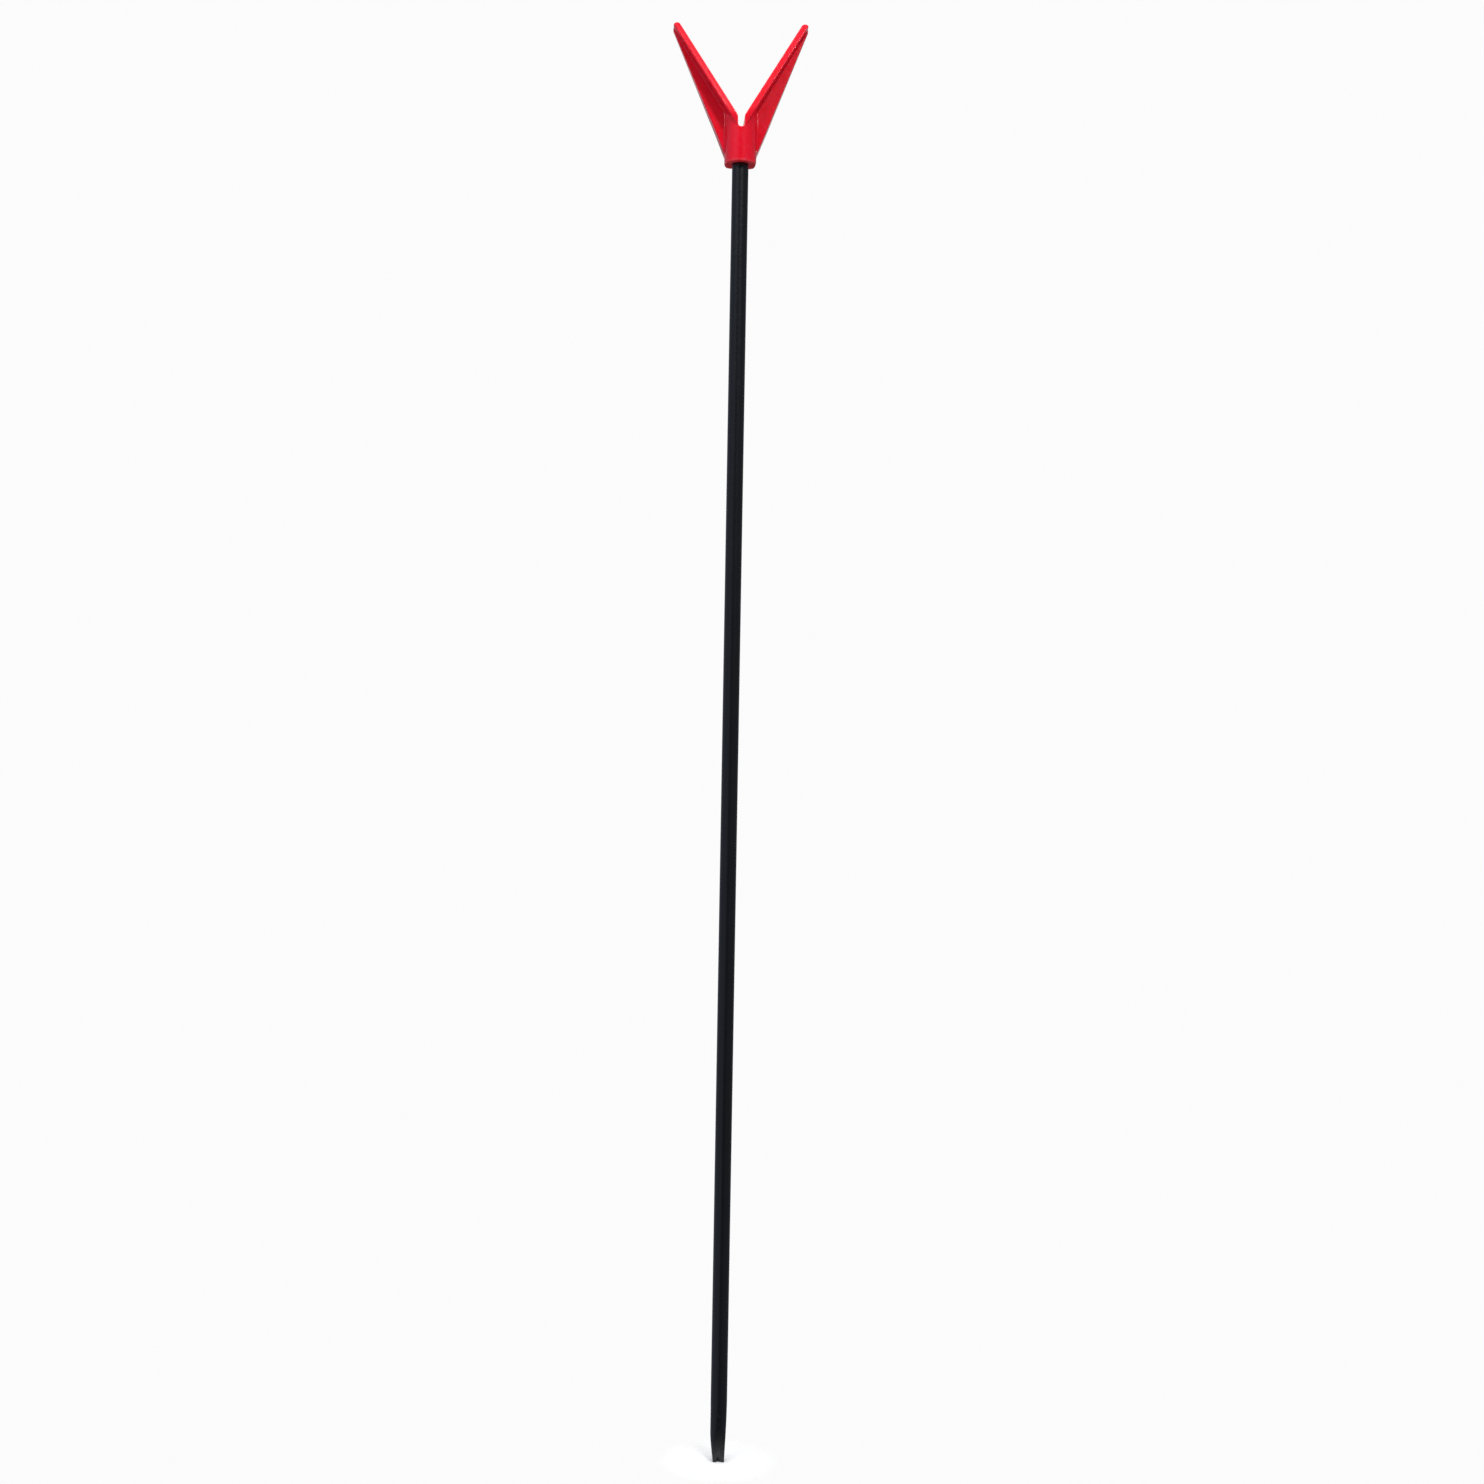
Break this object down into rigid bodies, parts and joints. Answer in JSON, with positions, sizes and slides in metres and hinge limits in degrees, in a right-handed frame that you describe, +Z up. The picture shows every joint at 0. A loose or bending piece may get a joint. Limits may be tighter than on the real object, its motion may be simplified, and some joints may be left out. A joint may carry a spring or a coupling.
{
  "type": "fishing rod rest",
  "caption": "Fishing-rod rest: a moulded plastic V head with a line slot, on a slim crimped steel tube stake pushed into the bank.",
  "frame": {"origin": "centre of the stake's lower end", "axes": "+Z up the stake to the head; the head's open V lies in the XZ plane and its flat back faces +Y"},
  "size_m": [0.066, 0.015, 0.7],
  "materials": {
    "head_plastic": "satin-gloss moulded, signal red",
    "stake_coat": "semi-gloss black powder coat on steel"
  },
  "bodies": {
    "stake": {"stake_tube": "stake_coat"},
    "head": {"v_head": "head_plastic"}
  },
  "joints": [
    {"name": "head_swivel", "type": "hinge", "parent": "stake", "child": "head", "pos_m": [0, 0, 0.638], "axis": [0, 0, 1], "continuous": true}
  ]
}
